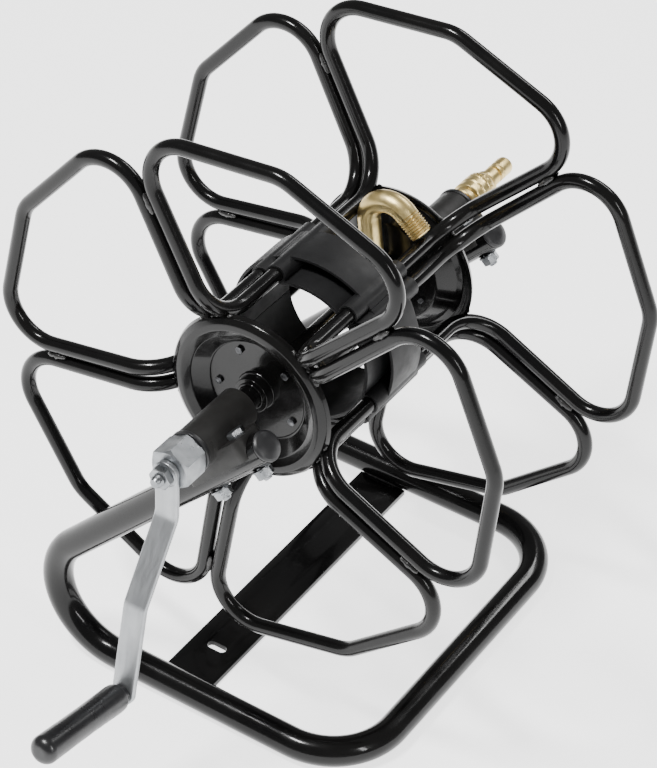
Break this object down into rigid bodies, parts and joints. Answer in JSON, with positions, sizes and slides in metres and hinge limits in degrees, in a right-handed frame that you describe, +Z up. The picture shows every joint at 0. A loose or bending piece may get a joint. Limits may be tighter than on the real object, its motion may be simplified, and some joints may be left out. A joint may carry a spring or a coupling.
{
  "type": "floor-standing garden hose reel",
  "caption": "Free-standing crank hose reel: two open petal discs of bent rod on a moulded drum, on a bent-tube floor frame, with a swivel water inlet.",
  "frame": {"origin": "on the floor, on the floor strap's middle line, midway between the two discs", "axes": "+X towards the frame's front bar, +Y along the axle away from the crank, +Z up"},
  "size_m": [0.4579, 0.6561, 0.5254],
  "materials": {
    "black_paint": "gloss",
    "drum_plastic": "satin",
    "black_plastic": "satin",
    "bush_plastic": "matt",
    "zinc_steel": "zinc plated",
    "axle_steel": "gloss",
    "brass": "satin",
    "seal_rubber": "matt"
  },
  "bodies": {
    "stand": {"frame_tube": "black_paint", "floor_strap": "black_paint", "tube_plug_near": "black_plastic", "tube_plug_far": "black_plastic", "bearing_block_near": "black_plastic", "bearing_block_far": "black_plastic", "bearing_bush_near": "bush_plastic", "bearing_bush_far": "bush_plastic", "block_bolts": "zinc_steel", "block_washers": "zinc_steel", "block_nuts": "zinc_steel"},
    "reel": {"near_petal_1": "black_paint", "near_petal_2": "black_paint", "near_petal_3": "black_paint", "near_petal_4": "black_paint", "near_petal_5": "black_paint", "far_petal_1": "black_paint", "far_petal_2": "black_paint", "far_petal_3": "black_paint", "far_petal_4": "black_paint", "far_petal_5": "black_paint", "drum_segment_1": "drum_plastic", "drum_segment_2": "drum_plastic", "drum_segment_3": "drum_plastic", "drum_segment_4": "drum_plastic", "drum_segment_5": "drum_plastic", "hub_flange_near": "black_paint", "hub_flange_far": "black_paint", "hub_collar_near": "black_paint", "hub_collar_far": "black_paint", "flange_screws": "zinc_steel", "axle_tube": "axle_steel", "thrust_ring_near": "black_plastic", "thrust_ring_far": "black_plastic", "crank_hub": "zinc_steel", "crank_arm": "zinc_steel", "crank_stud": "zinc_steel", "crank_nut": "zinc_steel", "grip_spindle": "zinc_steel", "gooseneck": "brass", "gooseneck_ferrule": "brass", "inlet_stem": "brass", "inlet_seals": "seal_rubber"},
    "grip": {"crank_grip": "black_plastic"},
    "inlet": {"inlet_swivel": "brass", "inlet_nipple": "brass"}
  },
  "joints": [
    {"name": "reel_spin", "type": "hinge", "parent": "stand", "child": "reel", "pos_m": [0.032, 0, 0.295], "axis": [0, 1, 0], "continuous": true},
    {"name": "grip_spin", "type": "hinge", "parent": "reel", "child": "grip", "pos_m": [0.032, -0.27112, 0.112], "axis": [0, -0.9781, 0.2079], "continuous": true},
    {"name": "inlet_spin", "type": "hinge", "parent": "reel", "child": "inlet", "pos_m": [0.032, 0.23, 0.295], "axis": [0, 1, 0], "continuous": true}
  ]
}
